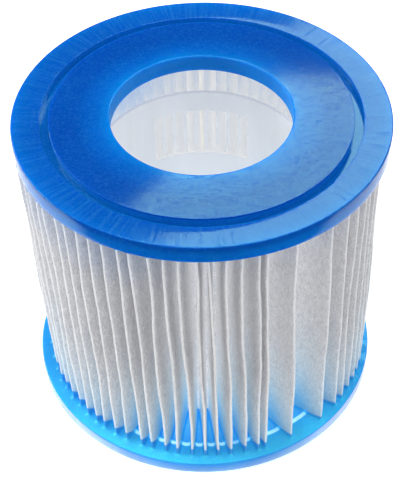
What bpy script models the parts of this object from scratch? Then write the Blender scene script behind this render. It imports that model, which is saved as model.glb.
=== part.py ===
"""Pleated filter cartridge: two cast end caps, a pleated media strip, its seam and a core.

The cartridge stands on its bottom cap. The frame's origin is the centre of the face
that it stands on, +Z runs up the axis, and all sizes are in metres.
"""

import math

import bmesh
import bpy

# ---- driving dimensions ------------------------------------------------------------
HEIGHT = 0.0960             # over both end caps
CAP_RADIUS = 0.0530
TOP_CAP_THICKNESS = 0.0052
BOTTOM_CAP_THICKNESS = 0.0042
CAP_EDGE_RADIUS = 0.0004    # rounding of the cap's outer edge, on its outer face
HOLE_RADIUS = 0.0256        # through both caps
HOLE_CHAMFER = 0.0004
GROOVE_INNER = 0.0425       # ring groove in each cap's outer face
GROOVE_OUTER = 0.0451
GROOVE_DEPTH = 0.0026

PLEATS = 64
MEDIA_THICKNESS = 0.0005
TIP_RADIUS = 0.0510         # outside of the outer folds
ROOT_RADIUS = 0.0320        # inside of the inner folds
FOLD_WIDTH = 0.0014         # across one blunt fold, along the middle of the strip
SLOT_DEPTH = 0.0011         # how deep the caps hold the ends of the media
GAP = 0.0003                # clearance between neighbouring solids

CORE_INNER = 0.0305
CORE_OUTER = ROOT_RADIUS - GAP
CORE_LENGTH = 0.0616
WINDOW_HALF_ANGLE = math.radians(28.0)
WINDOW_HEIGHT = 0.0169
WINDOW_EDGE = 0.0074        # from the core's end to its nearest windows
WINDOWS_AROUND = 4

SEAM_LENGTH = 0.0060        # radial length of the glued seam

CAP_SEGMENTS = 72
EDGE_SEGMENTS = 2           # along the cap's rounded edge
WINDOW_SEGMENTS = 8
POST_SEGMENTS = 5

HALF_STRIP = MEDIA_THICKNESS / 2.0
PITCH = 2.0 * math.pi / PLEATS
SEAM_ANGLE = math.pi / 2.0  # the strip's two ends meet on +Y


# ---- helpers -----------------------------------------------------------------------
def clear_scene():
    for old in list(bpy.data.objects):
        bpy.data.objects.remove(old, do_unlink=True)


def make_material(name, colour, roughness, transmission=0.0):
    material = bpy.data.materials.new(name)
    material.use_nodes = True
    shader = material.node_tree.nodes["Principled BSDF"]
    shader.inputs["Base Color"].default_value = (*colour, 1.0)
    shader.inputs["Roughness"].default_value = roughness
    shader.inputs["Metallic"].default_value = 0.0
    shader.inputs["Transmission Weight"].default_value = transmission
    return material


def make_object(name, mesh_builder, material=None):
    """Finish a bmesh as an object with outward normals."""
    bmesh.ops.recalc_face_normals(mesh_builder, faces=mesh_builder.faces)
    mesh = bpy.data.meshes.new(name)
    mesh_builder.to_mesh(mesh)
    mesh_builder.free()
    if material is not None:
        mesh.materials.append(material)
    obj = bpy.data.objects.new(name, mesh)
    bpy.context.scene.collection.objects.link(obj)
    return obj


def shade_round(obj, angle=math.radians(30.0)):
    obj.data.shade_smooth()
    obj.data.set_sharp_from_angle(angle=angle)


def polar(radius, angle):
    return radius * math.cos(angle), radius * math.sin(angle)


def turned(profile, segments):
    """A closed ring solid: a closed outline of (radius, z) points turned about Z."""
    build = bmesh.new()
    rings = []
    for step in range(segments):
        angle = 2.0 * math.pi * step / segments
        rings.append([build.verts.new((*polar(radius, angle), z)) for radius, z in profile])
    count = len(profile)
    for step, ring in enumerate(rings):
        following = rings[(step + 1) % segments]
        for i in range(count):
            j = (i + 1) % count
            build.faces.new((ring[i], ring[j], following[j], following[i]))
    return build


# ---- the pleated strip -------------------------------------------------------------
def strip_middle():
    """Middle line of the strip, from one glued end round to the other."""
    tip = TIP_RADIUS - HALF_STRIP
    root = ROOT_RADIUS + HALF_STRIP
    tip_half = FOLD_WIDTH / 2.0 / tip
    root_half = FOLD_WIDTH / 2.0 / root
    points = [polar(tip, SEAM_ANGLE + tip_half)]
    for pleat in range(PLEATS):
        valley = SEAM_ANGLE + (pleat + 0.5) * PITCH
        points.append(polar(root, valley - root_half))
        points.append(polar(root, valley + root_half))
        crest = SEAM_ANGLE + (pleat + 1.0) * PITCH
        points.append(polar(tip, crest - tip_half))
        if pleat < PLEATS - 1:
            points.append(polar(tip, crest + tip_half))
    return points


def offset_line(points, distance):
    """The line moved sideways by distance, with mitred corners and square ends."""
    moved = []
    for i, (x, y) in enumerate(points):
        before = points[max(i - 1, 0)]
        after = points[min(i + 1, len(points) - 1)]
        directions = []
        for (x0, y0), (x1, y1) in ((before, (x, y)), ((x, y), after)):
            length = math.hypot(x1 - x0, y1 - y0)
            if length > 0.0:
                directions.append(((x1 - x0) / length, (y1 - y0) / length))
        if len(directions) == 1:
            directions.append(directions[0])
        normals = [(-dy, dx) for dx, dy in directions]
        nx = normals[0][0] + normals[1][0]
        ny = normals[0][1] + normals[1][1]
        scale = 2.0 * distance / (nx * nx + ny * ny)
        moved.append((x + nx * scale, y + ny * scale))
    return moved


def lengthened(points, extra):
    """The same line with both ends run on by extra."""
    longer = list(points)
    for end, neighbour in ((0, 1), (-1, -2)):
        (x0, y0), (x1, y1) = points[neighbour], points[end]
        length = math.hypot(x1 - x0, y1 - y0)
        longer[end] = (x1 + (x1 - x0) / length * extra, y1 + (y1 - y0) / length * extra)
    return longer


def strip_solid(points, half_thickness, bottom, top):
    """The line thickened by half_thickness each way and stood up from bottom to top."""
    build = bmesh.new()
    sides = [offset_line(points, half_thickness), offset_line(points, -half_thickness)]
    corners = [[[build.verts.new((x, y, z)) for x, y in side] for z in (bottom, top)]
               for side in sides]
    (left_low, left_high), (right_low, right_high) = corners
    for i in range(len(points) - 1):
        j = i + 1
        build.faces.new((left_low[i], left_low[j], left_high[j], left_high[i]))
        build.faces.new((right_low[i], right_high[i], right_high[j], right_low[j]))
        build.faces.new((left_high[i], left_high[j], right_high[j], right_high[i]))
        build.faces.new((left_low[i], right_low[i], right_low[j], left_low[j]))
    for i in (0, -1):
        build.faces.new((left_low[i], left_high[i], right_high[i], right_low[i]))
    return build


def pleated_media(material):
    bottom = BOTTOM_CAP_THICKNESS - SLOT_DEPTH + GAP
    top = HEIGHT - TOP_CAP_THICKNESS + SLOT_DEPTH - GAP
    build = strip_solid(strip_middle(), HALF_STRIP, bottom, top)
    return make_object("pleated_media", build, material)


def media_side_seam(material):
    """The bead of glue between the strip's two end flanks."""
    half_width = FOLD_WIDTH / 2.0 - HALF_STRIP - GAP
    outer = TIP_RADIUS - GAP
    points = [polar(outer, SEAM_ANGLE), polar(outer - SEAM_LENGTH, SEAM_ANGLE)]
    bottom = BOTTOM_CAP_THICKNESS + GAP
    top = HEIGHT - TOP_CAP_THICKNESS - GAP
    build = strip_solid(points, half_width, bottom, top)
    return make_object("media_side_seam", build, material)


# ---- end caps ----------------------------------------------------------------------
def cap_profile(thickness):
    """Outline of a cap with its outer face at z = 0, from the hole outwards and back."""
    outline = [(HOLE_RADIUS, thickness - HOLE_CHAMFER),
               (HOLE_RADIUS, HOLE_CHAMFER),
               (HOLE_RADIUS + HOLE_CHAMFER, 0.0),
               (GROOVE_INNER, 0.0),
               (GROOVE_INNER, GROOVE_DEPTH),
               (GROOVE_OUTER, GROOVE_DEPTH),
               (GROOVE_OUTER, 0.0)]
    for step in range(EDGE_SEGMENTS + 1):
        angle = math.pi / 2.0 * step / EDGE_SEGMENTS
        outline.append((CAP_RADIUS - CAP_EDGE_RADIUS * (1.0 - math.sin(angle)),
                        CAP_EDGE_RADIUS * (1.0 - math.cos(angle))))
    outline.append((CAP_RADIUS, thickness))
    outline.append((HOLE_RADIUS + HOLE_CHAMFER, thickness))
    return outline


def end_cap(name, material, thickness, flipped):
    """One end cap, with the slot that holds the media's end."""
    profile = cap_profile(thickness)
    slot_bottom = thickness - SLOT_DEPTH
    slot_top = thickness + SLOT_DEPTH
    if flipped:
        profile = [(radius, HEIGHT - z) for radius, z in profile]
        slot_bottom, slot_top = HEIGHT - slot_top, HEIGHT - slot_bottom
    cap = make_object(name, turned(profile, CAP_SEGMENTS), material)
    slot_line = lengthened(strip_middle(), GAP)
    cutter = make_object(name + "_slot_cutter",
                         strip_solid(slot_line, HALF_STRIP + GAP, slot_bottom, slot_top))
    cutter.hide_render = True
    cutter.display_type = "WIRE"
    cut = cap.modifiers.new("media slot", "BOOLEAN")
    cut.operation = "DIFFERENCE"
    cut.solver = "EXACT"
    cut.object = cutter
    shade_round(cap)
    return cap


# ---- core --------------------------------------------------------------------------
def core_angles():
    """Angular steps round the core, each with whether it lies in a window."""
    steps = []
    period = 2.0 * math.pi / WINDOWS_AROUND
    post = period - 2.0 * WINDOW_HALF_ANGLE
    for window in range(WINDOWS_AROUND):
        start = window * period - WINDOW_HALF_ANGLE
        for i in range(WINDOW_SEGMENTS):
            steps.append((start + 2.0 * WINDOW_HALF_ANGLE * i / WINDOW_SEGMENTS, True))
        start += 2.0 * WINDOW_HALF_ANGLE
        for i in range(POST_SEGMENTS):
            steps.append((start + post * i / POST_SEGMENTS, False))
    return steps


def core_levels():
    """Heights that part the core into bands, and whether each band holds windows."""
    low = (HEIGHT - CORE_LENGTH) / 2.0
    high = HEIGHT - low
    levels = [low, low + WINDOW_EDGE, low + WINDOW_EDGE + WINDOW_HEIGHT,
              high - WINDOW_EDGE - WINDOW_HEIGHT, high - WINDOW_EDGE, high]
    return levels, [False, True, False, True, False]


def core(material):
    """A thin tube with two rows of windows, built from its solid cells."""
    steps = core_angles()
    levels, windowed = core_levels()
    around, bands = len(steps), len(windowed)
    build = bmesh.new()
    points = {}

    def point(side, i, level):
        key = (side, i % around, level)
        if key not in points:
            radius = CORE_OUTER if side else CORE_INNER
            points[key] = build.verts.new((*polar(radius, steps[key[1]][0]), levels[level]))
        return points[key]

    def solid(i, band):
        if band < 0 or band >= bands:
            return False
        return not (windowed[band] and steps[i % around][1])

    for i in range(around):
        for band in range(bands):
            if not solid(i, band):
                continue
            j, upper = i + 1, band + 1
            for side in (0, 1):
                build.faces.new((point(side, i, band), point(side, j, band),
                                 point(side, j, upper), point(side, i, upper)))
            for level, neighbour in ((band, band - 1), (upper, band + 1)):
                if not solid(i, neighbour):
                    build.faces.new((point(0, i, level), point(0, j, level),
                                     point(1, j, level), point(1, i, level)))
            for edge, neighbour in ((i, i - 1), (j, i + 1)):
                if not solid(neighbour, band):
                    build.faces.new((point(0, edge, band), point(1, edge, band),
                                     point(1, edge, upper), point(0, edge, upper)))
    obj = make_object("core", build, material)
    shade_round(obj)
    return obj


def main():
    clear_scene()
    blue = make_material("cast blue", (0.01, 0.19, 0.68), 0.25, transmission=0.4)
    fleece = make_material("media white", (0.78, 0.79, 0.80), 0.9)
    plastic = make_material("core white", (0.82, 0.84, 0.88), 0.35)
    glue = make_material("seam glue", (0.80, 0.78, 0.70), 0.4)
    end_cap("bottom_end_cap", blue, BOTTOM_CAP_THICKNESS, flipped=False)
    end_cap("top_end_cap", blue, TOP_CAP_THICKNESS, flipped=True)
    pleated_media(fleece)
    media_side_seam(glue)
    core(plastic)


main()
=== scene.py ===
"""Looks of the pleated filter cartridge: two cast caps, the pleated media, its seam and the core.

Metres throughout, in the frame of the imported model: +Z up the axis, standing at z = 0.
Angles round the cartridge are measured from the front, -Y, towards +X.
Materials measure in millimetres, in the coordinates that Graph.place gives.
"""

import math
import random
from collections import namedtuple

import bmesh
import bpy
import numpy as np
from mathutils import Matrix, Vector, kdtree


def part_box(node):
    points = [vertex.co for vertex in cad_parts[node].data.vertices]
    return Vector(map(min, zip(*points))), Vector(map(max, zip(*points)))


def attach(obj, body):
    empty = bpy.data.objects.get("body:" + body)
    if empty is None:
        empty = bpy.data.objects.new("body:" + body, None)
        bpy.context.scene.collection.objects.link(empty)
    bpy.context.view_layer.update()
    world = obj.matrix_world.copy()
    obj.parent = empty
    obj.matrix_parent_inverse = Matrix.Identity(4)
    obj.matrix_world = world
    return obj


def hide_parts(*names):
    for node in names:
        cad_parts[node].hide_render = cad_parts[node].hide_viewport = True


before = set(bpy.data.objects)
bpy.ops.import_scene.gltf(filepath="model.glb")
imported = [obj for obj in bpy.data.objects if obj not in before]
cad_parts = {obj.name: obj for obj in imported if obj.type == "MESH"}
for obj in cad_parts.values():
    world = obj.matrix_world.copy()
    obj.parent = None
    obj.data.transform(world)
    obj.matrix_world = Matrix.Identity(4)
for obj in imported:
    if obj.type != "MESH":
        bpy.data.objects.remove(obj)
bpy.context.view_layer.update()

MM = 0.001

# ---- sizes read from the frame -----------------------------------------------------
top_low, top_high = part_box("top_end_cap")
bottom_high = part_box("bottom_end_cap")[1]
core_low, core_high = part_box("core")
HEIGHT = top_high[2]
CAP_RADIUS = top_high[0]
TOP_THICKNESS = top_high[2] - top_low[2]
BOTTOM_THICKNESS = bottom_high[2]
CORE_OUTER = core_high[0]

# ---- sizes of the caps -------------------------------------------------------------
HOLE_RADIUS = 25.6 * MM
HOLE_EDGE = 0.4 * MM          # rounding of the hole's edges
GROOVE_INNER = 42.5 * MM
GROOVE_OUTER = 45.1 * MM
GROOVE_DEPTH = 2.6 * MM
GROOVE_EDGE = 0.10 * MM
RIM_EDGE = 0.4 * MM           # rounding of the outer face's outer edge
INNER_EDGE = 0.3 * MM         # rounding of the rim's other edge
RING_DISH = 0.28 * MM         # how far the ring outside the groove falls in from its edge
BEAD_RADIUS = 46.0 * MM       # the inner face steps down here
BEAD_HEIGHT = 0.12 * MM
MENISCUS_HEIGHT = 1.1 * MM    # how far the casting climbs the pleats
MENISCUS_REACH = 0.45 * MM
MENISCUS_STEP = 0.12 * MM     # spacing of the points that it is measured from

# ---- sizes of the media ------------------------------------------------------------
PLEATS = 64
MEDIA_THICKNESS = 0.40 * MM
MEDIA_HELD = 0.8 * MM         # how much of each end stands in the castings
ROOT_RADIUS = 32.05 * MM      # inside of the inner folds
ROOT_SPREAD = 0.9             # millimetres: how much further out some of them lie
ROOT_FOLD = 0.50 * MM         # bend radius of the inner folds, at the middle of the strip
TIP_FOLD = 0.15 * MM
THINNEST = 0.03 * MM          # of the strip inside its tightest folds
TIP_RADIUS = (50.4 * MM, 51.9 * MM)   # outside of the outer folds, bottom and top
TIP_SHIFT = (1.1 * MM, -1.1 * MM)     # how far the outer folds stand to +X, bottom and top
SEAM_GAP = 0.35 * MM          # between the strip's two cut ends

# ---- where the pleats stand, and how unevenly --------------------------------------
FRONT_PITCH = 4.65            # degrees between pleats where they crowd at the front
FRONT_SPAN = (-68.0, 74.0)
SPREAD = (20.0, 29.5, 43.0, 50.5)     # pleats that stand apart
SPREAD_CROWD = 2.8            # the gap just before them
JITTER = 0.45                 # degrees
TIP_LEAN = 0.011              # radians, over the whole height
ROOT_LEAN = 0.004
LEG_BOW = 0.25                # millimetres
CLIMB = (2.2, 4.6)            # millimetres: how far the painted blue light from the caps reaches up the pleats
# swings along the height, each a wavelength and its size
TIP_SWAY = ((70 * MM, 0.006), (26 * MM, 0.0022), (9 * MM, 0.0010))
TIP_DEPTH = ((60 * MM, 0.25 * MM), (14 * MM, 0.06 * MM))
LEG_SWAY = ((55 * MM, 0.22 * MM), (19 * MM, 0.09 * MM))
SEED = 7

# ---- sizes of the core -------------------------------------------------------------
CORE_WALL = 1.1 * MM
CORE_CLEAR = 0.1 * MM         # between the core's outside and the CAD core's
CORE_EDGE = 0.22 * MM
WINDOWS_AROUND = 4
WINDOW_HALF_ANGLE = math.radians(28.0)
WINDOW_EDGE = 7.4 * MM        # from the core's ends to its windows
WINDOW_HEIGHT = 16.9 * MM
WINDOW_CORNER = 1.2 * MM
WINDOWED = (False, True, False, True, False)    # the core's bands, from the bottom up
WINDOW_COLUMNS = 18
# columns of the posts between windows, as shares of their width, close by the parting line
POST_COLUMNS = (0.0, 0.12, 0.24, 0.36, 0.485, 0.5, 0.515, 0.64, 0.76, 0.88)
PARTING_LINE = 0.12 * MM      # how far the moulding's parting lines stand proud

# ---- camera ------------------------------------------------------------------------
CAMERA_PLACE = Vector((0.0, -0.2825, 0.3286))
CAMERA_PITCH = math.radians(45.06)    # below the horizon
CAMERA_YAW = math.radians(0.15)
CAMERA_ROLL = math.radians(-0.96)
CAMERA_LENS = 98.0

# ---- studio ------------------------------------------------------------------------
# place, aim, size and brightness of each light
SOFT_BOXES = {
    "overhead": ((0.0, -0.15, 1.5), (0.0, -0.1, 0.0), (1.7, 1.3), 1.7),
    "left": ((-1.05, 0.25, 0.55), (0.0, 0.0, 0.05), (1.3, 1.0), 3.6),
    "right": ((1.1, -0.25, 0.55), (0.0, 0.0, 0.05), (1.3, 1.0), 1.2),
    "front": ((0.0, -1.2, 0.75), (0.0, 0.0, 0.05), (1.4, 0.8), 0.6),
}
# the panel mirrored in the top cap, whose left edge runs from front left to back right
BLOOM_EDGE = Vector((0.614, 0.789, 0.0))
BLOOM_ASIDE = Vector((0.789, -0.614, 0.0))
BLOOM_PLACE = Vector((0.024, 0.597, 0.5960)) + BLOOM_EDGE * 0.015 + BLOOM_ASIDE * 0.14
BLOOM_SIZE = (0.28, 0.50)
BLOOM_BRIGHTNESS = 5.2
FLAG = ((-0.15, 0.654), (0.60, 1.0), 0.5940)    # two corners and height of the card under it
FLOOR = ((-3, -3), (3, 3), -0.1 * MM)
SKY_COLOUR = (0.75, 0.85, 1.0, 1.0)
SKY_STRENGTH = 0.06


# ---- the line of the media ---------------------------------------------------------
def pleat_angles(rng):
    """Angle of each outer fold from the front, from the seam at -180 round to +180."""
    left = [SPREAD[0] - SPREAD_CROWD]
    while left[-1] - FRONT_PITCH > FRONT_SPAN[0]:
        left.append(left[-1] - FRONT_PITCH)
    right = [SPREAD[-1] + FRONT_PITCH]
    while right[-1] + FRONT_PITCH < FRONT_SPAN[1]:
        right.append(right[-1] + FRONT_PITCH)
    front = sorted(left) + list(SPREAD) + right
    gaps_left = PLEATS + 1 - len(front)
    back_left = front[0] + 180.0
    back_right = 180.0 - front[-1]
    count_left = round(gaps_left * back_left / (back_left + back_right))
    count_right = gaps_left - count_left
    angles = [-180.0 + back_left * i / count_left for i in range(count_left)]
    angles += front
    angles += [front[-1] + back_right * (i + 1) / count_right for i in range(count_right)]
    jitter = [0.0] + [rng.uniform(-JITTER, JITTER) for _ in angles[1:-1]] + [0.0]
    return [math.radians(a + j) for a, j in zip(angles, jitter)]


def waves(rng, heights, sizes):
    """A smooth random curve over the heights: sizes pairs each wavelength with its swing."""
    curve = np.zeros_like(heights)
    for wavelength, swing in sizes:
        phase = rng.uniform(0.0, 2.0 * math.pi)
        curve += swing * rng.uniform(0.4, 1.0) * np.sin(2 * math.pi * heights / wavelength + phase)
    return curve


def around(radius, angle):
    """Points at a radius and an angle from the front, as the last axis."""
    return np.stack([radius * np.sin(angle), -radius * np.cos(angle)], axis=-1)


def directions(azimuth):
    """The directions outward and along the circle at an angle from the front."""
    outward = np.stack([np.sin(azimuth), -np.cos(azimuth)], axis=-1)
    along = np.stack([np.cos(azimuth), np.sin(azimuth)], axis=-1)
    return outward, along


class Strip:
    """The media's middle surface: for each height, a line of points round the pleats.

    Each point also has its distance along the strip from the nearest crest (fold), how far painted
    blue light from the caps reaches there (climb), and the strip's thickness on the line's left
    side (inner).
    """

    LEG_POINTS = 5
    TIP_ARC = np.radians(np.linspace(-90.0, 90.0, 7))
    ROOT_ARC = np.radians(np.linspace(-90.0, 90.0, 5))

    def __init__(self, heights):
        rng = random.Random(SEED)
        self.heights = heights
        self.angles = pleat_angles(rng)
        share = (heights - heights[0]) / (heights[-1] - heights[0])
        self.shift = TIP_SHIFT[0] + (TIP_SHIFT[1] - TIP_SHIFT[0]) * share
        tips = self.outer_folds(rng, share)
        roots = self.inner_folds(rng, tips)
        climbs = [rng.uniform(*CLIMB) * MM for _ in tips]
        columns = []
        for index, tip in enumerate(tips):
            arc, distances = self.tip(*tip)
            inner = MEDIA_THICKNESS / 2 if tip[2] else TIP_FOLD - THINNEST
            columns += [(point, distance, climbs[index], inner)
                        for point, distance in zip(arc, distances)]
            if index < len(roots):
                following = self.tip(*tips[index + 1])[0]
                columns += self.flanks(rng, arc[-1], roots[index], following[0],
                                       climbs[index:index + 2])
        points, fold, climb, inner = zip(*columns)
        self.lines = np.stack(points, axis=1)
        self.fold = np.array(fold)
        self.climb = np.array(climb)
        self.inner = np.array(inner)[:, None]

    def outer_folds(self, rng, share):
        """Each outer fold's angle and radius over the height, and the side of the seam it is on."""
        tips = []
        last = len(self.angles) - 1
        for index, angle in enumerate(self.angles):
            seam = {0: 1.0, last: -1.0}.get(index)
            lean = 0.0 if seam else rng.uniform(-TIP_LEAN, TIP_LEAN)
            azimuth = angle + lean * (share - 0.5)
            radius = TIP_RADIUS[0] + (TIP_RADIUS[1] - TIP_RADIUS[0]) * share
            if not seam:
                azimuth = azimuth + waves(rng, self.heights, TIP_SWAY)
                radius = radius + waves(rng, self.heights, TIP_DEPTH)
            tips.append((azimuth, radius, seam))
        return tips

    def inner_folds(self, rng, tips):
        """Each inner fold's angle and radius over the height, midway between its neighbours."""
        roots = []
        for before, after in zip(tips, tips[1:]):
            azimuth = (before[0] + after[0]) / 2.0 + rng.uniform(-ROOT_LEAN, ROOT_LEAN)
            radius = ROOT_RADIUS + rng.uniform(0.0, ROOT_SPREAD) * MM + 0 * self.heights
            roots.append((azimuth, radius))
        return roots

    def tip(self, azimuth, radius, seam):
        """The outer fold's arc and its distances, or at the seam the strip's cut end."""
        outward, along = directions(azimuth)
        centre = around(radius - MEDIA_THICKNESS / 2 - TIP_FOLD, azimuth)
        centre = centre + np.stack([self.shift, 0 * self.shift], axis=-1)
        if seam:
            offset = seam * (SEAM_GAP / 2 + MEDIA_THICKNESS / 2)
            return [centre + along * offset + outward * TIP_FOLD], [0.0]
        arc = [centre + TIP_FOLD * (math.cos(a) * outward + math.sin(a) * along)
               for a in self.TIP_ARC]
        return arc, [abs(a) * (TIP_FOLD + MEDIA_THICKNESS / 2) for a in self.TIP_ARC]

    def root(self, azimuth, radius):
        """The inner fold's arc."""
        outward, along = directions(azimuth)
        centre = around(radius + MEDIA_THICKNESS / 2 + ROOT_FOLD, azimuth)
        return [centre + ROOT_FOLD * (math.sin(a) * along - math.cos(a) * outward)
                for a in self.ROOT_ARC]

    def leg(self, rng, start, end):
        """Points between two folds, bowed a little sideways."""
        bow = rng.uniform(-LEG_BOW, LEG_BOW) * MM + waves(rng, self.heights, LEG_SWAY)
        run = end - start
        normal = np.stack([-run[:, 1], run[:, 0]], axis=-1)
        normal /= np.linalg.norm(normal, axis=-1, keepdims=True)
        points = []
        for i in range(self.LEG_POINTS):
            part = (i + 1) / (self.LEG_POINTS + 1)
            points.append(start + run * part + normal * (bow * math.sin(math.pi * part))[:, None])
        return points

    def flanks(self, rng, start, root, end, climbs):
        """The columns from one outer fold down to the inner fold and up to the next."""
        fold = self.root(*root)
        down = self.leg(rng, start, fold[0])
        up = self.leg(rng, fold[-1], end)
        length = np.linalg.norm(start - fold[0], axis=-1).mean()
        steps = [length * (i + 1) / (self.LEG_POINTS + 1) for i in range(self.LEG_POINTS)]
        distances = steps + [length] * len(fold) + steps[::-1]
        midway = len(down) + len(fold) // 2
        return [(point, distance, climbs[0] if index < midway else climbs[1], MEDIA_THICKNESS / 2)
                for index, (point, distance) in enumerate(zip(down + fold + up, distances))]

    def line_at(self, height):
        """The line of points at one height."""
        return np.stack([[np.interp(height, self.heights, self.lines[:, i, axis])
                          for axis in (0, 1)] for i in range(self.lines.shape[1])])


# ---- mesh helpers ------------------------------------------------------------------
def link(name, mesh):
    obj = bpy.data.objects.new(name, mesh)
    bpy.context.scene.collection.objects.link(obj)
    return obj


def new_piece(name, vertices, faces, smooth=True):
    mesh = bpy.data.meshes.new(name)
    mesh.from_pydata([tuple(v) for v in vertices], [], [tuple(f) for f in faces])
    mesh.update()
    if smooth:
        mesh.shade_smooth()
    return link(name, mesh)


def give_attribute(obj, name, values):
    layer = obj.data.attributes.new(name, "FLOAT", "POINT")
    layer.data.foreach_set("value", np.asarray(values, dtype=np.float32))


def quad_grid(rows, columns, wrap_rows=False, wrap_columns=False, flip=False):
    """Quads over a grid whose vertex (row, column) has the index row * columns + column."""
    row = np.arange(rows if wrap_rows else rows - 1)
    column = np.arange(columns if wrap_columns else columns - 1)
    row, column = (a.ravel() for a in np.meshgrid(row, column, indexing="ij"))
    below, right = (row + 1) % rows, (column + 1) % columns
    quads = np.stack([row * columns + column, row * columns + right,
                      below * columns + right, below * columns + column], axis=1)
    return quads[:, ::-1] if flip else quads


def tidy_normals(obj):
    build = bmesh.new()
    build.from_mesh(obj.data)
    bmesh.ops.recalc_face_normals(build, faces=build.faces)
    build.to_mesh(obj.data)
    build.free()


# ---- media -------------------------------------------------------------------------
def media_heights():
    """Heights of the media's rows: close together by the caps, further apart between."""
    low = BOTTOM_THICKNESS - MEDIA_HELD
    high = HEIGHT - TOP_THICKNESS + MEDIA_HELD
    ends = np.array([0.0, 0.8, 1.8, 3.0, 4.4, 6.2]) * MM
    middle = np.linspace(low + 9.0 * MM, high - 9.0 * MM, 21)
    return np.concatenate([low + ends, middle, high - ends[::-1]])


def sides_of(line, left, right):
    """Both sides of lines of points (rows, points, 2), so far left and right of the middle."""
    run = np.gradient(line, axis=1)
    normal = np.stack([-run[..., 1], run[..., 0]], axis=-1)
    normal /= np.linalg.norm(normal, axis=-1, keepdims=True)
    return line + normal * left, line - normal * right


def slab(name, strip):
    """The strip as a closed sheet, its inner side's vertices before its outer side's."""
    rows, columns = strip.lines.shape[:2]
    sides = sides_of(strip.lines, strip.inner, MEDIA_THICKNESS / 2)
    z = np.broadcast_to(strip.heights[:, None, None], (rows, columns, 1))
    vertices = np.concatenate([np.concatenate([side, z], axis=-1).reshape(-1, 3)
                               for side in sides])
    half = rows * columns
    faces = [quad_grid(rows, columns, flip=True), quad_grid(rows, columns) + half]
    along = np.arange(columns - 1)
    up = np.arange(rows - 1) * columns
    for start, step, flip in ((along, 1, False), ((rows - 1) * columns + along, 1, True),
                              (up, columns, True), (up + columns - 1, columns, False)):
        edge = np.stack([start, start + step, start + step + half, start + half], axis=1)
        faces.append(edge[:, ::-1] if flip else edge)
    return new_piece(name, vertices, np.concatenate(faces)[:, ::-1])


def make_media(strip):
    media = slab("pleated_fleece", strip)
    rows = len(strip.heights)
    for name, values in (("fold", strip.fold), ("climb", strip.climb)):
        give_attribute(media, name, np.tile(values, 2 * rows))
    give_attribute(media, "inside", np.repeat([1.0, 0.0], rows * strip.lines.shape[1]))
    return media


def make_seam(strip):
    """The glue bead between the strip's two cut ends, bulging a little past them."""
    ends = (strip.lines[:, 0] + strip.lines[:, -1]) / 2.0
    inner = (strip.lines[:, 3] + strip.lines[:, -4]) / 2.0
    inward = inner - ends
    inward /= np.linalg.norm(inward, axis=-1, keepdims=True)
    across = np.stack([-inward[:, 1], inward[:, 0]], axis=-1)
    rows = ((strip.heights > BOTTOM_THICKNESS - 0.1 * MM)
            & (strip.heights < HEIGHT - TOP_THICKNESS + 0.1 * MM))
    heights = strip.heights[rows]
    # the bead's section in millimetres: how far in from the crest, and how far to the side
    outline = [(-0.30, 0.10), (-0.22, 0.34), (0.0, 0.42), (0.8, 0.18), (5.8, 0.15), (6.0, 0.0),
               (5.8, -0.15), (0.8, -0.18), (0.0, -0.42), (-0.22, -0.34), (-0.30, -0.10)]
    ring = np.stack([ends[rows] + inward[rows] * depth * MM + across[rows] * wide * MM
                     for depth, wide in outline], axis=1)
    count = len(outline)
    z = np.broadcast_to(heights[:, None, None], (len(heights), count, 1))
    vertices = np.concatenate([ring, z], axis=-1).reshape(-1, 3)
    faces = [tuple(f) for f in quad_grid(len(heights), count, wrap_columns=True)]
    faces.append(tuple(range(count))[::-1])
    faces.append(tuple((len(heights) - 1) * count + i for i in range(count)))
    seam = new_piece("seam_bead", vertices, faces)
    tidy_normals(seam)
    return seam


# ---- caps --------------------------------------------------------------------------
def arc_points(centre, radius, start, stop, count):
    """Points of an arc in the (radius, z) plane; angles in degrees from +radius to +z."""
    return [(centre[0] + radius * math.cos(math.radians(a)),
             centre[1] + radius * math.sin(math.radians(a)))
            for a in np.linspace(start, stop, count)]


def cap_outline(thickness):
    """Outline of a cap's hole, outer face and rim, with the outer face at z = 0."""
    edge, groove = HOLE_EDGE, GROOVE_EDGE
    outline = arc_points((HOLE_RADIUS + edge, thickness - edge), edge, 90, 180, 4)
    outline += [(HOLE_RADIUS, z) for z in np.linspace(thickness - 1.2 * MM, 1.2 * MM, 3)]
    outline += arc_points((HOLE_RADIUS + edge, edge), edge, 180, 270, 5)
    outline.append((HOLE_RADIUS + edge + 0.15 * MM, 0.0))
    outline += [(r * MM, 0.0) for r in (27.5, 30.0, 33.0, 36.0, 39.0)]
    outline.append((GROOVE_INNER - groove - 0.12 * MM, 0.0))
    outline += arc_points((GROOVE_INNER - groove, groove), groove, 270, 360, 3)
    outline += [(GROOVE_INNER, GROOVE_DEPTH / 2), (GROOVE_INNER, GROOVE_DEPTH),
                (GROOVE_INNER + 0.8 * MM, GROOVE_DEPTH), (GROOVE_OUTER - 0.8 * MM, GROOVE_DEPTH),
                (GROOVE_OUTER, GROOVE_DEPTH), (GROOVE_OUTER, GROOVE_DEPTH / 2)]
    outline += arc_points((GROOVE_OUTER + groove, groove + RING_DISH), groove, 180, 270, 3)
    last_flat = CAP_RADIUS - RIM_EDGE
    ring = last_flat - GROOVE_OUTER
    outline += [(GROOVE_OUTER + ring * part, RING_DISH * (1.0 - part))
                for part in (0.02, 0.35, 0.7, 0.98)]
    outline += arc_points((last_flat, RIM_EDGE), RIM_EDGE, 270, 360, 5)
    outline += [(CAP_RADIUS, thickness * part) for part in (0.3, 0.5, 0.7)]
    outline += arc_points((CAP_RADIUS - INNER_EDGE, thickness - INNER_EDGE), INNER_EDGE, 0, 60, 3)
    return outline


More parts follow.
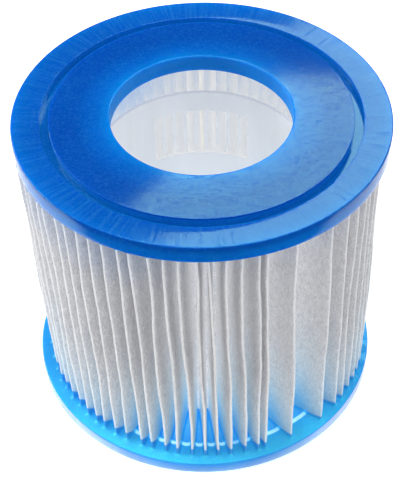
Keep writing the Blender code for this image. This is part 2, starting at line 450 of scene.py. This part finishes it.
def inner_face_radii():
    """Radii of the inner face's rings, from the rim in to the hole."""
    outer = np.arange(CAP_RADIUS - INNER_EDGE, 49.4 * MM, -0.25 * MM)
    bead = BEAD_RADIUS + np.array([0.9, 0.35, 0.12, -0.12, -0.35, -0.9]) * MM
    middle = np.arange(48.9, 47.0, -0.5) * MM
    inside = np.arange(44.6, 32.0, -0.6) * MM
    last = np.array([31.2, 29.5, 27.6, 26.4]) * MM
    return np.concatenate([outer, middle, bead, inside, last])


def cap_columns(strip):
    """Angles of the cap's columns, gathered round each pleat."""
    near_crests = 0.05        # the radius at which the columns are spaced
    beside = np.array([0.0, 0.25, 0.5, 0.8, 1.15, 1.6])
    beside = np.concatenate([-beside[:0:-1], beside]) * MM / near_crests
    columns = []
    for here, following in zip(strip.angles, strip.angles[1:]):
        columns += list(here + beside)
        start, stop = here + beside[-1], following + beside[0]
        spare = max(int((stop - start) * near_crests / (0.6 * MM)), 1)
        columns += [start + (stop - start) * (i + 1) / (spare + 1) for i in range(spare)]
    return np.array(sorted(columns))


def smooth_step(low, high, value):
    part = np.clip((value - low) / (high - low), 0.0, 1.0)
    return part * part * (3.0 - 2.0 * part)


def meniscus(points, line):
    """How far the casting climbs at each point, from its distance to the media."""
    dense = []
    for start, stop in zip(line, line[1:]):
        steps = max(int(np.linalg.norm(stop - start) / MENISCUS_STEP), 1)
        dense += [start + (stop - start) * i / steps for i in range(steps)]
    tree = kdtree.KDTree(len(dense))
    for index, (x, y) in enumerate(dense):
        tree.insert((x, y, 0.0), index)
    tree.balance()
    distance = np.array([tree.find((x, y, 0.0))[2] for x, y in points])
    distance = np.maximum(distance - MEDIA_THICKNESS / 2, 0.0)
    return MENISCUS_HEIGHT * np.exp(-distance / MENISCUS_REACH)


def inner_face(strip, columns, radii, line):
    """The inner face's points, how far each stands proud of it, and how far it has climbed."""
    points = np.concatenate([around(np.full_like(columns, r), columns) for r in radii])
    radius = np.repeat(radii, len(columns))
    climb = meniscus(points, line)
    climb *= smooth_step(CAP_RADIUS - INNER_EDGE, 52.2 * MM, radius)
    climb *= smooth_step(26.0 * MM, 30.0 * MM, radius)
    bead = BEAD_HEIGHT * smooth_step(BEAD_RADIUS + 0.3 * MM, BEAD_RADIUS - 0.3 * MM, radius)
    bead *= smooth_step(26.0 * MM, 29.0 * MM, radius)
    return points, np.maximum(climb, bead), climb


def make_cap(name, strip, thickness, flipped):
    """A cap cast round the pleats: its inner face rises where it meets them."""
    columns = cap_columns(strip)
    outline = cap_outline(thickness)
    radii = inner_face_radii()
    grid = []
    for radius, z in outline:
        ring = around(np.full_like(columns, radius), columns)
        grid.append(np.column_stack([ring, np.full_like(columns, z)]))
    line = strip.line_at(HEIGHT - thickness if flipped else thickness)
    rings, proud, climb = inner_face(strip, columns, radii, line)
    grid.append(np.column_stack([rings, thickness + proud]))
    vertices = np.concatenate(grid)
    rows = len(outline) + len(radii)
    faces = quad_grid(rows, len(columns), wrap_rows=True, wrap_columns=True, flip=flipped)
    if flipped:
        vertices[:, 2] = HEIGHT - vertices[:, 2]
    cap = new_piece(name, vertices, faces)
    end = 1 if flipped else 0
    crests = TIP_RADIUS[end]
    beside = np.linalg.norm(rings - [TIP_SHIFT[end], 0.0], axis=1)
    shown = climb * smooth_step(crests + 0.35 * MM, crests - 0.15 * MM, beside)
    rise = np.concatenate([np.zeros(len(outline) * len(columns)), shown])
    give_attribute(cap, "rise", rise / MENISCUS_HEIGHT)
    cap.data.set_sharp_from_angle(angle=math.radians(50.0))
    return cap


# ---- core --------------------------------------------------------------------------
def core_steps():
    """Angles of the core's columns: (angle, in a window, on a parting line)."""
    steps = []
    period = 2.0 * math.pi / WINDOWS_AROUND
    window_angle = 2.0 * WINDOW_HALF_ANGLE
    post = period - window_angle
    for window in range(WINDOWS_AROUND):
        start = window * period - WINDOW_HALF_ANGLE
        steps += [(start + window_angle * i / WINDOW_COLUMNS, True, False)
                  for i in range(WINDOW_COLUMNS)]
        start += window_angle
        steps += [(start + post * part, False, part == 0.5) for part in POST_COLUMNS]
    return steps


def core_levels():
    """Heights of the edges of the core's bands."""
    low, high = core_low[2], core_high[2]
    return [low, low + WINDOW_EDGE, low + WINDOW_EDGE + WINDOW_HEIGHT,
            high - WINDOW_EDGE - WINDOW_HEIGHT, high - WINDOW_EDGE, high]


def core_shell():
    """The core's tube with square windows, as a bmesh."""
    steps, levels = core_steps(), core_levels()
    count = len(steps)
    build = bmesh.new()
    made = {}

    def point(outside, column, level):
        key = (outside, column % count, level)
        if key not in made:
            angle, _, proud = steps[key[1]]
            radius = CORE_OUTER - (CORE_CLEAR if outside else CORE_WALL)
            z = levels[level]
            if proud:
                radius -= 0.0 if outside else PARTING_LINE
                z += {0: -0.5, len(levels) - 1: 0.5}.get(level, 0.0) * PARTING_LINE
            made[key] = build.verts.new((radius * math.sin(angle), -radius * math.cos(angle), z))
        return made[key]

    def face(*corners):
        build.faces.new([point(*corner) for corner in corners])

    def solid(column, band):
        return 0 <= band < len(WINDOWED) and not (WINDOWED[band] and steps[column % count][1])

    for left in range(count):
        for low in range(len(WINDOWED)):
            if not solid(left, low):
                continue
            right, high = left + 1, low + 1
            for side in (0, 1):
                face((side, left, low), (side, right, low), (side, right, high), (side, left, high))
            for level, beyond in ((low, low - 1), (high, low + 1)):
                if not solid(left, beyond):
                    face((0, left, level), (0, right, level), (1, right, level), (1, left, level))
            for edge, beyond in ((left, left - 1), (right, left + 1)):
                if not solid(beyond, low):
                    face((0, edge, low), (1, edge, low), (1, edge, high), (0, edge, high))
    bmesh.ops.recalc_face_normals(build, faces=build.faces)
    return build


def round_windows(build):
    """Round the windows' corners: the sharp edges that run straight through the wall."""
    corners = []
    for edge in build.edges:
        a, b = (v.co for v in edge.verts)
        through = abs(a.z - b.z) < 1e-7 and abs(a.xy.length - b.xy.length) > 0.5 * MM
        if through and edge.calc_face_angle(0.0) > math.radians(60.0):
            corners.append(edge)
    bmesh.ops.bevel(build, geom=corners, offset=WINDOW_CORNER, segments=4, profile=0.5,
                    affect="EDGES", clamp_overlap=True)


def make_core():
    """The core, its edges softened by a bevel."""
    build = core_shell()
    round_windows(build)
    mesh = bpy.data.meshes.new("core_cage")
    build.to_mesh(mesh)
    build.free()
    mesh.shade_smooth()
    core = link("core_cage", mesh)
    soften = core.modifiers.new("edges", "BEVEL")
    soften.width = CORE_EDGE
    soften.segments = 2
    soften.limit_method = "ANGLE"
    soften.angle_limit = math.radians(40.0)
    soften.harden_normals = True
    return core


# ---- materials ---------------------------------------------------------------------
Place = namedtuple("Place", "point x y height radius angle")


class Graph:
    """A short way to write down a material's nodes."""

    def __init__(self, name):
        self.material = bpy.data.materials.new(name)
        self.material.use_nodes = True
        self.tree = self.material.node_tree
        self.tree.nodes.clear()

    def feed(self, socket, value):
        if isinstance(value, bpy.types.NodeSocket):
            self.tree.links.new(value, socket)
        elif isinstance(value, (tuple, list)) and socket.type == "RGBA":
            socket.default_value = (*value[:3], 1.0)
        else:
            socket.default_value = value

    def node(self, kind, out=0, settings=None, **sockets):
        """Add a node, set its options, feed its sockets by name, and return an output."""
        node = self.tree.nodes.new(kind)
        for key, value in (settings or {}).items():
            setattr(node, key, value)
        for key, value in sockets.items():
            self.feed(node.inputs[key.replace("_", " ")], value)
        return node.outputs[out]

    def math(self, operation, a, b=0.0, clamp=False):
        node = self.tree.nodes.new("ShaderNodeMath")
        node.operation = operation
        node.use_clamp = clamp
        self.feed(node.inputs[0], a)
        self.feed(node.inputs[1], b)
        return node.outputs[0]

    def plus(self, first, *others):
        for other in others:
            first = self.math("ADD", first, other)
        return first

    def minus(self, a, b):
        return self.math("SUBTRACT", a, b)

    def times(self, first, *others):
        for other in others:
            first = self.math("MULTIPLY", first, other)
        return first

    def step(self, value, low, high, out_low=0.0, out_high=1.0, smooth=True):
        node = self.tree.nodes.new("ShaderNodeMapRange")
        node.interpolation_type = "SMOOTHSTEP" if smooth else "LINEAR"
        self.feed(node.inputs[0], value)
        for index, number in enumerate((low, high, out_low, out_high)):
            self.feed(node.inputs[index + 1], number)
        return node.outputs[0]

    def between(self, value, rise, fall):
        """1 between two soft edges, rising over one span and falling over the other."""
        return self.times(self.step(value, *rise), self.step(value, *fall, 1.0, 0.0))

    def blend(self, factor, a, b, how="MIX"):
        node = self.tree.nodes.new("ShaderNodeMix")
        node.data_type = "RGBA"
        node.blend_type = how
        self.feed(node.inputs[0], factor)
        self.feed(node.inputs[6], a)
        self.feed(node.inputs[7], b)
        return node.outputs[2]

    def ramp(self, value, stops):
        node = self.tree.nodes.new("ShaderNodeValToRGB")
        elements = node.color_ramp.elements
        while len(elements) < len(stops):
            elements.new(0.5)
        for element, (place, colour) in zip(elements, stops):
            element.position = place
            element.color = (*colour, 1.0)
        self.feed(node.inputs[0], value)
        return node.outputs[0]

    def attribute(self, name):
        return self.node("ShaderNodeAttribute", out=2, settings={"attribute_name": name})

    def split(self, vector):
        node = self.tree.nodes.new("ShaderNodeSeparateXYZ")
        self.feed(node.inputs[0], vector)
        return node.outputs

    def vector(self, x, y, z):
        node = self.tree.nodes.new("ShaderNodeCombineXYZ")
        for socket, value in zip(node.inputs, (x, y, z)):
            self.feed(socket, value)
        return node.outputs[0]

    def place(self):
        """Object coordinates in millimetres, with the radius and the angle round the axis."""
        coords = self.node("ShaderNodeTexCoord", out=3)
        point = self.node("ShaderNodeVectorMath", settings={"operation": "SCALE"}, Vector=coords)
        point.node.inputs["Scale"].default_value = 1.0 / MM
        x, y, height = self.split(point)
        radius = self.math("SQRT", self.plus(self.times(x, x), self.times(y, y)))
        return Place(point, x, y, height, radius, self.math("ARCTAN2", y, x))

    def stretch(self, vector, scale, turn=(0.0, 0.0, 0.0)):
        return self.node("ShaderNodeMapping", Vector=vector, Scale=scale, Rotation=turn)

    def noise(self, vector, scale, detail=2.0, roughness=0.5, distortion=0.0):
        return self.node("ShaderNodeTexNoise", Vector=vector, Scale=scale, Detail=detail,
                         Roughness=roughness, Distortion=distortion)

    def bump(self, height, distance, strength):
        node = self.tree.nodes.new("ShaderNodeBump")
        node.inputs["Strength"].default_value = strength
        node.inputs["Distance"].default_value = distance
        self.feed(node.inputs["Height"], height)
        return node.outputs[0]

    def plastic(self, fixed, **sockets):
        """A Principled shader: fixed sockets are the same all over the surface."""
        shader = self.node("ShaderNodeBsdfPrincipled", **sockets)
        for name, value in fixed.items():
            shader.node.inputs[name].default_value = value
        return shader

    def mix_shaders(self, factor, a, b):
        node = self.tree.nodes.new("ShaderNodeMixShader")
        for socket, value in zip(node.inputs, (factor, a, b)):
            self.feed(socket, value)
        return node.outputs[0]

    def surface(self, shader):
        output = self.tree.nodes.new("ShaderNodeOutputMaterial")
        self.feed(output.inputs["Surface"], shader)
        return self.material


# Radii in millimetres at which a cap's zones begin and stop, each over a soft edge.
HOLE_WALL_STOP = (25.62, 25.75)
DISC_STOP = (42.3, 42.6)
GROOVE_START, GROOVE_STOP = (42.0, 42.2), (45.3, 45.5)
FLOOR_START, FLOOR_STOP = (42.45, 42.6), (44.9, 45.05)      # the groove's floor
LINE_START, LINE_STOP = (45.2, 45.7), (46.3, 46.8)          # light through the groove below
RING_START, RING_STOP = (45.0, 45.3), (52.3, 52.6)
RIM_START = (52.7, 52.95)
# The same for depths under the outer face.
GROOVE_TOP, GROOVE_BOTTOM = (0.3, 0.7), (2.9, 3.2)

# A cap's look. face: its colour from the hole out to the rim, with painted light in it: paler by
# the hole and the rim, darker between them, and on the bottom cap paler all over as if lit from
# below. groove: the groove's floor, painted paler as if lit through. rim: the rim's colour next to
# the outer face and further in. lit: the strength of a painted glow for light through it.
# outer_face: the height of its outer face. gloss: the tint of its reflections.
CapLook = namedtuple("CapLook", "face groove rim lit outer_face gloss")
TOP_LOOK = CapLook(
    face=((0.0, (0.0, 0.28, 0.84)), (0.06, (0.0, 0.21, 0.69)), (0.14, (0.0, 0.145, 0.60)),
          (0.38, (0.0, 0.082, 0.45)), (0.58, (0.0, 0.082, 0.45)), (0.72, (0.0, 0.11, 0.53)),
          (0.88, (0.0, 0.132, 0.58)), (1.0, (0.0, 0.185, 0.66))),
    groove=(0.0, 0.123, 0.45),
    rim=((0.0, 0.075, 0.38), (0.0, 0.15, 0.55)),
    lit=0.0, outer_face=HEIGHT, gloss=(0.20, 0.80, 0.48, 1.0))
BOTTOM_LOOK = CapLook(
    face=((0.0, (0.14, 0.66, 0.88)), (0.3, (0.15, 0.66, 0.88)), (0.5, (0.15, 0.67, 0.88)),
          (0.62, (0.13, 0.67, 0.89)), (0.8, (0.08, 0.66, 0.93)), (0.95, (0.08, 0.72, 0.97)),
          (1.0, (0.08, 0.72, 0.97))),
    groove=(0.13, 1.005, 0.89),
    rim=((0.18, 0.38, 0.68), (0.04, 0.32, 0.78)),
    lit=0.18, outer_face=0.0, gloss=(0.20, 0.80, 0.78, 1.0))


def cast_colour(g, at, look, sunk, in_groove):
    """The casting's colour: its face and the groove's floor painted paler, with painted light, and
    the rim.
    """
    colour = g.ramp(g.step(at.radius, 25.0, 53.0, smooth=False), look.face)
    colour = g.blend(in_groove, colour, look.groove)
    at_rim = g.step(at.radius, *RIM_START)
    colour = g.blend(at_rim, colour, g.blend(g.step(sunk, 0.6, 3.2), *look.rim))
    if look.lit:
        # painted reflection: the pale floor is painted on the rim where it turns away
        turned = g.node("ShaderNodeLayerWeight", out=1, Blend=0.5)
        pale = g.times(at_rim, g.step(turned, 0.38, 0.70, 0.0, 0.7))
        colour = g.blend(pale, colour, (0.72, 0.84, 0.94))
    return colour


def groove_line(g, at):
    """A painted light line where the groove underneath lets light through, brighter in places."""
    line = g.between(at.radius, LINE_START, LINE_STOP)
    broken = g.noise(g.vector(at.angle, 0.0, 0.0), 4.0)
    return g.times(line, g.step(broken, 0.3, 0.55, 0.55, 1.0))


def clouded(g, at, colour):
    """Broad darker clouds and a fine paler grain in the casting."""
    cloud = g.noise(at.point, 0.05, detail=3.0)
    colour = g.blend(g.step(cloud, 0.3, 0.7, 0.0, 0.25), colour, (0.0, 0.05, 0.34))
    grain = g.noise(at.point, 1.6, detail=4.0, roughness=0.65)
    return g.blend(g.step(grain, 0.4, 0.8, 0.0, 0.30), colour, (0.04, 0.26, 0.72))


def cast_marks(g, at):
    """The casting's relief, and its haze of scratches: across the disc, outward on the ring."""
    disc = g.step(at.radius, *DISC_STOP, 1.0, 0.0)
    floor = g.between(at.radius, FLOOR_START, FLOOR_STOP)
    ring = g.step(at.radius, *RING_START)
    streaks = g.noise(g.vector(g.times(at.angle, 30.0), g.times(at.radius, 0.03), 0.0), 1.4,
                      detail=3.0, roughness=0.6)
    ticks = g.noise(g.vector(g.times(at.angle, 60.0), 0.0, 0.0), 1.0, detail=1.0)
    scratches = g.noise(g.stretch(at.point, (0.30, 1.1, 1.0), (0.0, 0.0, 0.6)), 0.9,
                        detail=3.0, roughness=0.6, distortion=1.2)
    fine = g.noise(at.point, 1.0, detail=4.0, roughness=0.65)
    dimples = g.plus(g.times(scratches, 0.6), g.times(fine, 0.5))
    relief = g.plus(g.times(streaks, ring, 2.5), g.times(dimples, disc),
                    g.times(ticks, floor, 2.0))
    across = g.times(g.step(scratches, 0.40, 0.60), g.step(fine, 0.40, 0.58), disc)
    outward = g.times(g.step(streaks, 0.45, 0.62), ring,
                      g.step(at.radius, *RING_STOP, 1.0, 0.0))
    return g.bump(relief, 0.00003, 0.16), across, outward


def cast_blue(name, look):
    """Translucent cast blue plastic, duller where scratched, with painted light and shade."""
    g = Graph(name)
    at = g.place()
    sunk = g.math("ABSOLUTE", g.minus(at.height, look.outer_face / MM))
    in_groove = g.times(g.between(at.radius, GROOVE_START, GROOVE_STOP),
                        g.between(sunk, GROOVE_TOP, GROOVE_BOTTOM))
    colour = cast_colour(g, at, look, sunk, in_groove)
    if look.lit:
        line = groove_line(g, at)
        colour = g.blend(line, colour, (0.55, 0.96, 1.0))
    colour = clouded(g, at, colour)
    # the casting where it has climbed the pleats is coloured a deeper blue: partly the resin's own
    # colour, partly painted contact shade at the pleats' feet
    risen = g.step(g.attribute("rise"), 0.34, 0.52)
    colour = g.blend(g.times(risen, 0.92), colour, (0.05, 0.50, 0.84))
    normal, across, outward = cast_marks(g, at)
    if look.lit:
        # painted glow for light through the cap, stronger towards the hole to make up for shade
        # between the pleats, weaker where the casting has climbed the pleats
        glow = g.times(g.step(risen, 0.0, 1.0, look.lit, 0.6 * look.lit),
                       g.step(at.radius, 38.0, 48.0, 2.5, 1.0))
        glow = g.plus(glow, g.times(line, 0.5))
        # painted shade: the face is painted darker away from the front
        front = g.step(at.y, -50.0, -12.0, 1.0, 0.0)
        painted_shade = g.blend(1.0, colour, (0.60, 0.68, 0.90), "MULTIPLY")
        colour = g.blend(front, painted_shade, colour)
    else:
        # a painted glow in the groove stands in for light through its thin floor; scratches are
        # paler than the disc
        glow = g.times(in_groove, 0.33)
        marks = g.plus(g.times(across, 0.05), g.times(outward, 0.15))
        colour = g.blend(marks, colour, (0.05, 0.32, 0.64))
    haze = g.plus(across, g.times(outward, 0.65))
    roughness = g.plus(g.times(haze, 0.06), g.step(at.radius, *HOLE_WALL_STOP, 0.55, 0.05))
    fixed = {"Specular Tint": look.gloss, "Subsurface Weight": 1.0,
             "Subsurface Radius": (0.15, 0.6, 1.0), "Subsurface Scale": 2.5 * MM}
    clear, scratched = (
        g.plastic({"IOR": ior, **fixed}, Base_Color=colour, Normal=normal, Roughness=roughness,
                  Emission_Color=colour, Emission_Strength=glow)
        for ior in (1.5, 1.27))
    return g.surface(g.mix_shaders(haze, clear, scratched))


def painted_blue_light(g, at, fold, above, uneven, colour):
    """Painted blue light from the bottom cap fades up the flanks, faster at crests than in the
    folds.
    """
    beside = g.math("ABSOLUTE", g.minus(at.x, 0.5))
    climb = g.times(g.attribute("climb"), 1.0 / MM, g.step(beside, 20.0, 36.0, 1.0, 1.4))
    fade = g.math("POWER", math.e, g.math("DIVIDE", g.plus(above, uneven), g.times(climb, -2.7)))
    fade = g.times(fade, 1.6, g.step(at.radius, 33.0, 36.0))
    fade = g.math("MULTIPLY", fade, g.step(fold, 0.5, 9.0, 0.26, 0.92), clamp=True)
    return g.blend(g.times(fade, 0.82), colour, (0.18, 0.64, 0.88))


def soaked_ends(g, at, fold, above, uneven, colour):
    """The castings have soaked into the ends, furthest just beside the crests."""
    below = g.minus((HEIGHT - TOP_THICKNESS) / MM, at.height)
    from_cap = g.plus(g.math("MINIMUM", above, g.plus(below, 0.8)), g.times(uneven, 0.2))
    beside_crest = g.step(at.x, 12.0, 26.0, 2.9, 0.9)
    soaked = g.times(g.step(fold, 0.3, 3.2, beside_crest, 0.1, smooth=False),
                     g.step(above, 8.0, 10.0, 1.0, 0.2))
    wet = g.step(g.minus(from_cap, soaked), 0.3, 1.4, 1.0, 0.0)
    blue = g.blend(g.step(fold, 0.15, 0.4), (0.10, 0.50, 0.90), (0.04, 0.46, 0.88))
    return wet, g.blend(wet, colour, blue)


def inner_side(g, at, inside, colour):
    """Painted shade and light inside the ring of pleats: darker and greener all over, and
    blue light from the hole's wall painted on the folds below it.
    """
    colour = g.blend(g.times(inside, 0.3), colour, (0.78, 0.83, 0.815))
    shaded = g.times(inside, g.step(at.height, 70.0, 84.0, 0.0, 0.8),
                     g.step(at.x, -26.0, -4.0, 1.0, 0.1))
    return g.blend(shaded, colour, (0.60, 0.73, 0.88))


def fleece_glow(g, at, inside, crest_highlight):
    """A painted glow for light that comes through from all round: most of it deep in the folds."""
    far_side = g.times(g.step(at.y, 15.0, 32.0), g.step(at.radius, 38.0, 47.0, 0.0, 0.28))
    within = g.plus(g.step(at.radius, 40.0, 50.0, 0.40, 0.08), far_side)
    without = g.plus(g.step(at.radius, 34.0, 47.0, 0.10, 0.0), g.times(crest_highlight, 0.05),
                     g.step(at.height, 8.0, 45.0, 0.16, 0.03),
                     g.step(at.x, -46.0, -20.0, 0.07, 0.0))
    return g.plus(g.times(within, inside), g.times(without, g.minus(1.0, inside)))


def fleece():
    """White spun-bonded non-woven, blue where the castings soaked in, with painted light and shade.
    """
    g = Graph("fleece")
    at = g.place()
    fold = g.times(g.attribute("fold"), 1.0 / MM)
    inside = g.attribute("inside")
    fibres = g.noise(g.stretch(at.point, (1.0, 1.0, 0.45), (0.4, 0.5, 0.0)), 1.3,
                     detail=5.0, roughness=0.7, distortion=1.5)
    lumps = g.noise(at.point, 0.4, detail=3.0)
    colour = g.blend(g.step(fibres, 0.36, 0.64), (0.72, 0.713, 0.733), (0.975, 0.967, 0.972))
    colour = g.blend(g.step(lumps, 0.3, 0.75, 0.0, 0.35), colour, (0.865, 0.86, 0.875))
    above = g.minus(at.height, BOTTOM_THICKNESS / MM)
    uneven = g.times(g.minus(g.noise(at.point, 0.8, detail=3.0), 0.5), 1.6)
    colour = painted_blue_light(g, at, fold, above, uneven, colour)
    wet, colour = soaked_ends(g, at, fold, above, uneven, colour)
    # painted highlight: the crests, where dry, are painted paler and given a little glow
    crest_highlight = g.times(g.step(fold, 0.2, 0.5, 1.0, 0.0), g.step(wet, 0.0, 1.0, 1.0, 0.0))
    colour = g.blend(g.times(crest_highlight, 0.6), colour, (0.97, 0.97, 0.97))
    colour = inner_side(g, at, inside, colour)
    normal = g.bump(g.plus(fibres, g.times(lumps, 2.5)), 0.0002, 0.9)
    matt = g.plastic({"Sheen Weight": 0.15, "Specular IOR Level": 0.2, "Roughness": 0.9},
                     Base_Color=colour, Normal=normal, Emission_Color=colour,
                     Emission_Strength=fleece_glow(g, at, inside, crest_highlight))
    through = g.node("ShaderNodeBsdfTranslucent", Color=colour, Normal=normal)
    return g.surface(g.mix_shaders(0.45, matt, through))


def core_plastic():
    """White moulded plastic with faint flow marks and a faint, warm painted glow."""
    g = Graph("core plastic")
    at = g.place()
    flow = g.noise(g.stretch(at.point, (1.0, 1.0, 0.25)), 0.12, detail=3.0)
    colour = g.blend(g.step(flow, 0.3, 0.7), (0.80, 0.785, 0.76), (0.86, 0.845, 0.82))
    grain = g.noise(at.point, 3.0, detail=2.0)
    # painted glow: a faint warm glow, a little stronger on the outside, stands in for light through
    # the fleece
    shader = g.plastic({"Emission Color": (1.0, 0.97, 0.92, 1.0)}, Base_Color=colour,
                       Normal=g.bump(grain, 0.00003, 0.4),
                       Roughness=g.step(grain, 0.3, 0.7, 0.32, 0.42),
                       Emission_Strength=g.step(at.radius, 30.55, 30.9, 0.15, 0.20))
    return g.surface(shader)


def glue():
    """Off-white glue, blotched and a little glossy, with a painted glow."""
    g = Graph("seam glue")
    at = g.place()
    blotch = g.noise(at.point, 0.4, detail=3.0)
    colour = g.blend(g.step(blotch, 0.3, 0.7), (0.86, 0.85, 0.81), (0.80, 0.78, 0.71))
    shader = g.plastic({"Emission Strength": 0.25}, Base_Color=colour, Emission_Color=colour,
                       Normal=g.bump(blotch, 0.0003, 0.6),
                       Roughness=g.step(blotch, 0.3, 0.7, 0.25, 0.45))
    return g.surface(shader)


# ---- studio ------------------------------------------------------------------------
def paper():
    """The pale floor, lit a little from below like a light table."""
    g = Graph("pale floor")
    coords = g.node("ShaderNodeTexCoord", out=3)
    tone = g.noise(coords, 2.0, detail=2.0)
    colour = g.blend(tone, (0.90, 0.90, 0.90), (0.93, 0.93, 0.93))
    pale = g.plastic({"Emission Color": (1.0, 1.0, 1.0, 1.0), "Emission Strength": 0.50,
                      "Roughness": 0.8}, Base_Color=colour)
    # glossy parts mirror the floor beside and behind the object, not the floor before it
    before = g.step(g.split(coords)[1], -0.075, -0.045, 1.0, 0.0)
    glossy = g.node("ShaderNodeLightPath", out=3)
    dark = g.node("ShaderNodeBsdfDiffuse", Color=(0.02, 0.04, 0.06))
    return g.surface(g.mix_shaders(g.times(before, glossy), pale, dark))


def black_card():
    g = Graph("black card")
    return g.surface(g.node("ShaderNodeBsdfDiffuse", Color=(0.02, 0.02, 0.02)))


def stage_card(name, low, high, z, material, facing_down=False):
    """A flat card for the set, from one corner to the opposite one."""
    corners = [(low[0], low[1], z), (high[0], low[1], z), (high[0], high[1], z),
               (low[0], high[1], z)]
    card = new_piece(name, corners, [(3, 2, 1, 0) if facing_down else (0, 1, 2, 3)], smooth=False)
    card.data.materials.append(material)


def soft_box(name, place, aim, size, brightness):
    """A rectangular light; brightness is how bright its face looks, where 1 is white."""
    data = bpy.data.lights.new(name, "AREA")
    data.shape = "RECTANGLE"
    data.size, data.size_y = size
    data.energy = brightness * math.pi * size[0] * size[1]
    light = bpy.data.objects.new(name, data)
    place = Vector(place)
    turn = (Vector(aim) - place).to_track_quat("-Z", "Y").to_matrix().to_4x4()
    light.matrix_world = Matrix.Translation(place) @ turn
    bpy.context.scene.collection.objects.link(light)
    return light


def make_bloom():
    """The panel mirrored in the top cap, and a card that cuts its far end off straight."""
    below = BLOOM_PLACE - Vector((0.0, 0.0, 1.0))
    panel = soft_box("bloom", BLOOM_PLACE, below, BLOOM_SIZE, BLOOM_BRIGHTNESS)
    turn = Matrix.Rotation(-math.atan2(BLOOM_EDGE.x, BLOOM_EDGE.y), 4, "Z")
    panel.matrix_world = Matrix.Translation(BLOOM_PLACE) @ turn
    stage_card("flag", *FLAG, black_card(), facing_down=True)


def make_camera():
    data = bpy.data.cameras.new("camera")
    data.lens = CAMERA_LENS
    data.sensor_width = 36.0
    data.clip_start = 0.01
    camera = bpy.data.objects.new("camera", data)
    turn = (Matrix.Rotation(CAMERA_YAW, 4, "Z")
            @ Matrix.Rotation(math.pi / 2 - CAMERA_PITCH, 4, "X")
            @ Matrix.Rotation(CAMERA_ROLL, 4, "Z"))
    camera.matrix_world = Matrix.Translation(CAMERA_PLACE) @ turn
    bpy.context.scene.collection.objects.link(camera)
    bpy.context.scene.camera = camera


def make_studio():
    """The floor, the lights and a dim sky."""
    stage_card("floor", *FLOOR, paper())
    for name, (place, aim, size, brightness) in SOFT_BOXES.items():
        soft_box(name, place, aim, size, brightness)
    make_bloom()
    world = bpy.data.worlds.new("studio")
    world.use_nodes = True
    background = world.node_tree.nodes["Background"]
    background.inputs["Color"].default_value = SKY_COLOUR
    background.inputs["Strength"].default_value = SKY_STRENGTH
    scene = bpy.context.scene
    scene.world = world
    scene.view_settings.view_transform = "Standard"
    scene.cycles.diffuse_bounces = 8


# ---- assembly ----------------------------------------------------------------------
def main():
    """Make every piece, give it its material, put it on the body and hide the CAD node it stands
    for.
    """
    strip = Strip(media_heights())
    media = make_media(strip)
    seam = make_seam(strip)
    bottom = make_cap("bottom_cap_casting", strip, BOTTOM_THICKNESS, flipped=False)
    top = make_cap("top_cap_casting", strip, TOP_THICKNESS, flipped=True)
    cage = make_core()
    for piece, node, slot, material in (
            (media, "pleated_media", "media_white", fleece()),
            (seam, "media_side_seam", "seam_glue", glue()),
            (bottom, "bottom_end_cap", "cap_blue", cast_blue("cast blue lit", BOTTOM_LOOK)),
            (top, "top_end_cap", "cap_blue", cast_blue("cast blue", TOP_LOOK)),
            (cage, "core", "core_white", core_plastic())):
        piece.data.materials.append(material)
        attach(piece, "root")
        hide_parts(node)
    make_studio()
    make_camera()


main()
